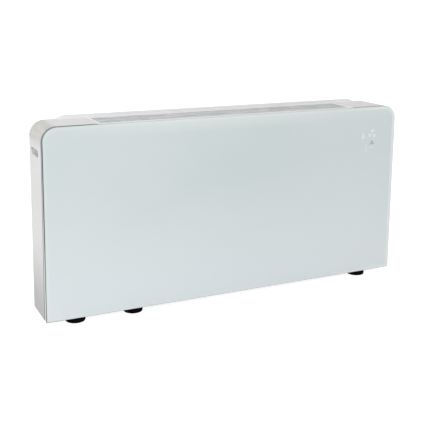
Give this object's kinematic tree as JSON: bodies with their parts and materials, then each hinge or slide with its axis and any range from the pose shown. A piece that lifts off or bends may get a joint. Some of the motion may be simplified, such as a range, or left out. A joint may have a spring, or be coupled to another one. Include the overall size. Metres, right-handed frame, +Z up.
{
  "type": "fan convector heater",
  "caption": "Slim floor-standing water-fed fan convector heater: glass front panel, side caps with finger grips, top outlet grille, rear rail, black feet, and coil and tangential fan inside.",
  "frame": {"origin": "on the floor under the centre of the casing, at the bottom centre of the bounding box", "axes": "+X along the width to the right as seen from the front, -Y out of the glass front, +Z up"},
  "size_m": [1.103, 0.132, 0.5455],
  "materials": {
    "glass_white": "toughened, polished, back-painted white",
    "tape_black": "matt foam",
    "panel_white": "satin powder coat",
    "grille_grey": "satin anodised",
    "cap_white": "satin moulded",
    "foam_grey": "closed-cell foam",
    "galvanised": "hot-dip galvanised sheet",
    "feet_black": "moulded, matt",
    "zinc_steel": "bright zinc plated",
    "pcb_module": "solder-resist green",
    "filter_grey": "moulded",
    "mesh_dark": "woven filter mesh",
    "fin_aluminium": "mill finish",
    "copper": "drawn copper",
    "brass": "machined",
    "lever_red": "enamelled",
    "cap_grey": "moulded",
    "shaft_steel": "ground",
    "bush_bronze": "sintered",
    "motor_black": "moulded"
  },
  "bodies": {
    "casing": {"air_vent_body": "brass", "back_plate": "galvanised", "base_tray": "galvanised", "bearing_bush": "bush_bronze", "bearing_holder": "galvanised", "cable_gland": "motor_black", "cap_edge_seals": "tape_black", "casing_screws": "zinc_steel", "coil_end_plates": "galvanised", "coil_fins": "fin_aluminium", "coil_tubes": "copper", "compression_nuts": "brass", "control_box": "cap_grey", "control_box_lid": "cap_grey", "control_pcb": "pcb_module", "fan_rear_scroll": "galvanised", "fan_tongue": "galvanised", "filter_rails": "galvanised", "flow_header": "copper", "flow_valve_body": "brass", "foot_screws": "zinc_steel", "front_baffle": "galvanised", "front_top_rail": "galvanised", "hanger_studs": "zinc_steel", "left_bulkhead": "galvanised", "left_grip_cup": "cap_white", "left_side_cap": "cap_white", "mains_terminal_block": "cap_grey", "motor_housing": "motor_black", "motor_lead": "motor_black", "motor_mount_rubbers": "feet_black", "motor_stator": "shaft_steel", "rear_top_rail": "panel_white", "return_header": "copper", "return_valve_body": "brass", "right_bulkhead": "galvanised", "right_grip_cup": "cap_white", "right_side_cap": "cap_white", "riser_pipes": "copper", "rubber_feet": "feet_black", "sensor_clip": "zinc_steel", "water_sensor": "brass"},
    "front_panel": {"front_glass": "glass_white", "glass_bond_tape": "tape_black", "panel_tray": "panel_white", "panel_insulation": "foam_grey", "panel_hangers": "galvanised", "touch_module": "pcb_module"},
    "grille": {"grille_frame": "panel_white", "grille_bars": "grille_grey"},
    "filter": {"filter_frame": "filter_grey", "filter_mesh": "mesh_dark"},
    "impeller": {"fan_impeller": "fin_aluminium", "impeller_hubs": "fin_aluminium", "stub_shaft": "shaft_steel", "motor_shaft": "shaft_steel", "motor_rotor": "shaft_steel"},
    "flow_valve": {"flow_valve_lever": "lever_red"},
    "return_valve": {"return_valve_cap": "cap_grey"},
    "air_vent": {"air_vent_screw": "brass"}
  },
  "joints": [
    {"name": "panel_lift", "type": "slide", "parent": "casing", "child": "front_panel", "axis": [0, 0, 1], "range_m": [0, 0.016]},
    {"name": "grille_lift", "type": "slide", "parent": "casing", "child": "grille", "axis": [0, 0, 1], "range_m": [0, 0.03]},
    {"name": "filter_slide", "type": "slide", "parent": "casing", "child": "filter", "axis": [0, -1, 0], "range_m": [0, 0.085]},
    {"name": "fan_spin", "type": "hinge", "parent": "casing", "child": "impeller", "pos_m": [0, 0.006, 0.15], "axis": [1, 0, 0], "continuous": true},
    {"name": "flow_valve_turn", "type": "hinge", "parent": "casing", "child": "flow_valve", "pos_m": [-0.428, -0.045, 0.11], "axis": [0, -1, 0], "range_deg": [0, 90]},
    {"name": "return_valve_turn", "type": "hinge", "parent": "casing", "child": "return_valve", "pos_m": [-0.456, 0.0455, 0.11], "axis": [-1, 0, 0], "range_deg": [0, 720]},
    {"name": "air_vent_turn", "type": "hinge", "parent": "casing", "child": "air_vent", "pos_m": [-0.428, 0.0455, 0.492], "axis": [0, 0, 1], "range_deg": [0, 360]}
  ]
}
